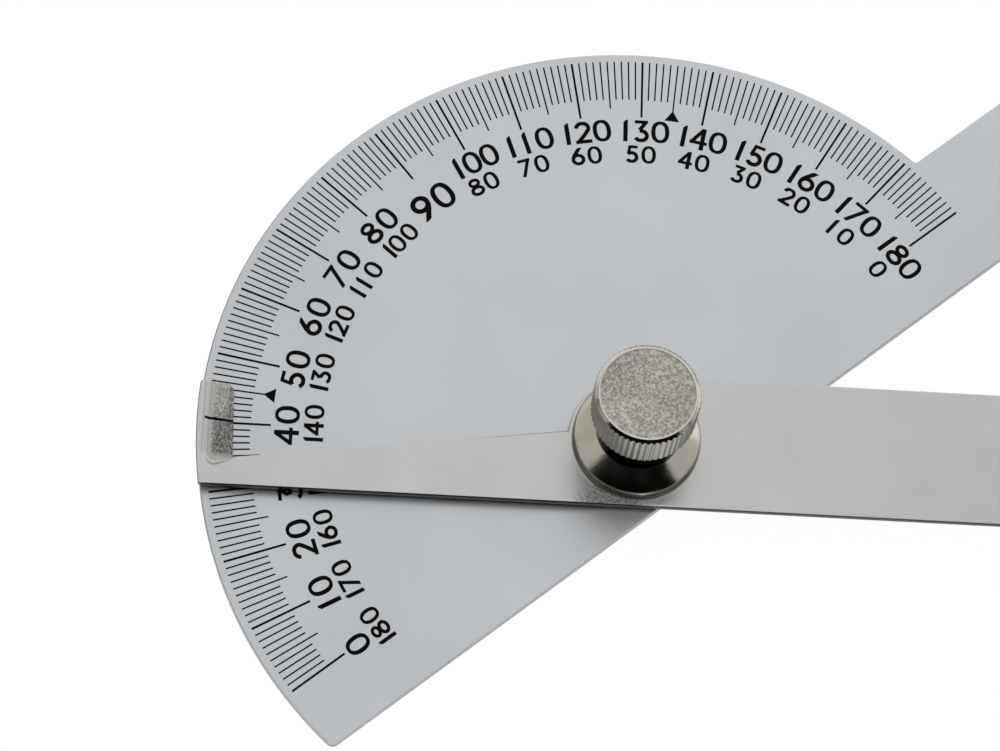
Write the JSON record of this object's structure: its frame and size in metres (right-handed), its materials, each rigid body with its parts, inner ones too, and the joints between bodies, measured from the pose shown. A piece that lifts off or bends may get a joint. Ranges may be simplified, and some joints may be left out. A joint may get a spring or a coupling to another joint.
{
  "type": "protractor",
  "caption": "Two-arm steel protractor: half-round degree dial in one sheet with its base arm, and a swinging arm with a reading pad clamped by a knurled thumb nut.",
  "frame": {"origin": "on the pivot axis, at the centre of the flat back face of the stud's head, the lowest point of the part", "axes": "+X from the pivot out along the fixed base arm, +Y from the pivot to the dial's 90 degree mark, +Z out of the dial's marked face along the pivot towards the thumb nut"},
  "size_m": [0.195, 0.1462, 0.0162],
  "materials": {
    "satin_steel_plate": "satin",
    "brushed_steel_arm": "fine brushed",
    "black_fill": "satin",
    "stud_steel": "turned",
    "washer_brass": "satin",
    "polished_collar": "mirror polished",
    "spring_steel": "satin",
    "nickel_nut": "nickel plated, turned face"
  },
  "bodies": {
    "dial": {"dial_plate": "satin_steel_plate", "degree_marks": "black_fill", "five_degree_marks": "black_fill", "ten_degree_marks": "black_fill", "dial_arrows": "black_fill", "pivot_stud": "stud_steel", "friction_washer": "washer_brass"},
    "arm": {"rotating_arm": "brushed_steel_arm", "index_mark": "black_fill"},
    "clamp": {"clamp_collar": "polished_collar", "spring_washer": "spring_steel"},
    "nut": {"thumb_nut": "nickel_nut"}
  },
  "joints": [
    {"name": "arm_swing", "type": "hinge", "parent": "dial", "child": "arm", "pos_m": [0, 0, 0.003], "axis": [0, 0, -1], "range_deg": [-40, 140]},
    {"name": "clamp_lift", "type": "slide", "parent": "dial", "child": "clamp", "axis": [0, 0, 1], "range_m": [0, 0.0007], "deforming": ["spring_washer"]},
    {"name": "nut_turn", "type": "hinge", "parent": "clamp", "child": "nut", "pos_m": [0, 0, 0.0065], "axis": [0, 0, 1], "range_deg": [0, 360]}
  ],
  "couplings": [
    {"joint": "nut_turn", "follows": "clamp_lift", "rad_per_m": 8975.1}
  ]
}
